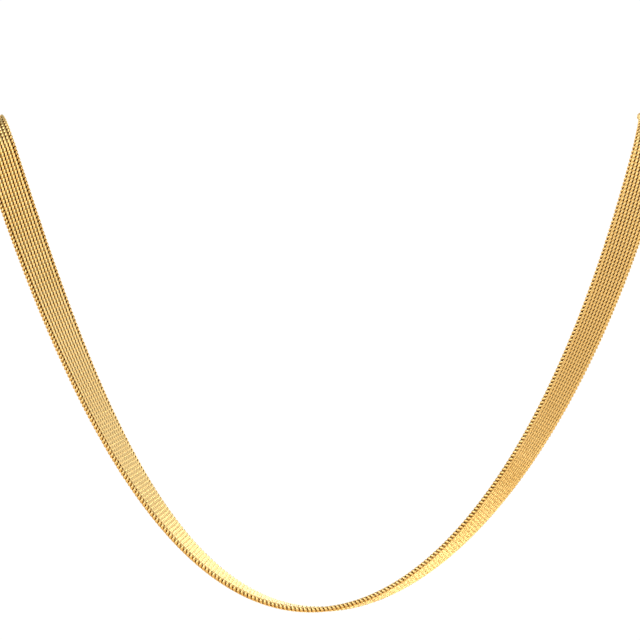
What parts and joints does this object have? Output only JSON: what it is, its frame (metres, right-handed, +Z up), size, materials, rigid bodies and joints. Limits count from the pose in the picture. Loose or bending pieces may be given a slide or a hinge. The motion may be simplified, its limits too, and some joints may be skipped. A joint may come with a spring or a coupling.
{
  "type": "necklace",
  "caption": "Flat gold necklace of woven wire mesh, worn in a U with its band twisting from the front up each arm, closed by a plain sleeve clasp at the nape.",
  "frame": {"origin": "Middle of the clasp's face that rests on the back of the neck, in the mount neck_rest", "axes": "+Z is up, the front of the necklace hangs towards -Y, +X is to the right seen from the front"},
  "size_m": [0.1296, 0.0793, 0.1212],
  "materials": {
    "woven_gold": "polished gold-plated wire, woven",
    "clasp_gold": "polished gold plate with fine scratches"
  },
  "bodies": {
    "root": {"mesh_ribbon": "woven_gold", "clasp": "clasp_gold"}
  },
  "joints": []
}
